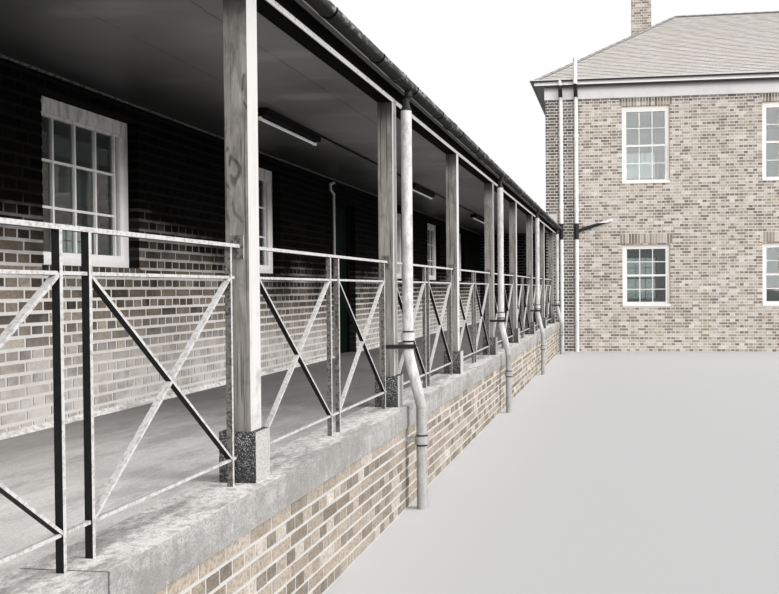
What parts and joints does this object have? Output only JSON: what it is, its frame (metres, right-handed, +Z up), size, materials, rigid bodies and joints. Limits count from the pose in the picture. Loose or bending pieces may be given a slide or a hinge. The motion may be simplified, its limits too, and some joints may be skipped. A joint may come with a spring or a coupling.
{
  "type": "school building",
  "caption": "Brick school wing with classrooms behind a raised, railed open verandah on timber posts, joined to a two-storey brick block with a hipped tiled roof and a chimney.",
  "frame": {"origin": "middle of the plan at ground level, under the bounding box", "axes": "+X along the wing towards the two-storey block, +Y from the verandah to the rear wall, +Z up"},
  "size_m": [28.186, 20.236, 11.25],
  "materials": {
    "brick": "rough",
    "block_brick": "rough",
    "concrete": "rough",
    "floor_boards": "matte",
    "weathered_timber": "weathered",
    "painted_timber": "satin",
    "dark_timber": "satin",
    "ceiling_board": "gloss",
    "gutter_paint": "satin",
    "pipe_paint": "satin",
    "railing_paint": "gloss",
    "tiles": "matte",
    "glass": "gloss",
    "door_paint": "satin",
    "handle_metal": "worn",
    "lamp": "gloss"
  },
  "bodies": {
    "building": {"plinth_wall": "brick", "coping": "concrete", "verandah_floor": "concrete", "post_bases": "concrete", "posts": "weathered_timber", "eaves_beam": "dark_timber", "ceiling": "ceiling_board", "wing_fascia": "painted_timber", "wing_gutter": "gutter_paint", "verandah_downpipes": "pipe_paint", "railing_1": "railing_paint", "railing_2": "railing_paint", "railing_3": "railing_paint", "railing_4": "railing_paint", "railing_5": "railing_paint", "railing_6": "railing_paint", "railing_7": "railing_paint", "railing_8": "railing_paint", "end_railing": "railing_paint", "corridor_wall_near": "brick", "corridor_wall_far": "brick", "corridor_wall_over_door": "brick", "door_step": "concrete", "wing_rear_wall": "brick", "wing_end_walls": "brick", "wing_floor": "floor_boards", "wing_roof": "tiles", "wing_windows": "painted_timber", "wing_glass": "glass", "door_frame": "painted_timber", "frame_hinges": "handle_metal", "ceiling_lights": "lamp", "wall_pipe": "pipe_paint", "block_front_wall": "block_brick", "block_back_wall": "block_brick", "block_left_wall": "block_brick", "block_right_wall": "block_brick", "block_floors": "floor_boards", "block_frieze": "painted_timber", "block_eaves_boards": "painted_timber", "block_gutter": "pipe_paint", "block_roof": "tiles", "chimney": "block_brick", "block_rain_pipe": "pipe_paint", "soil_pipe": "pipe_paint", "block_windows": "painted_timber", "block_glass": "glass"},
    "door": {"door": "door_paint", "door_hinges": "handle_metal", "door_handles": "handle_metal"}
  },
  "joints": [
    {"name": "door_hinge", "type": "hinge", "parent": "building", "child": "door", "pos_m": [-4.4925, 4.163, 0], "axis": [0, 0, 1], "range_deg": [0, 90]}
  ]
}
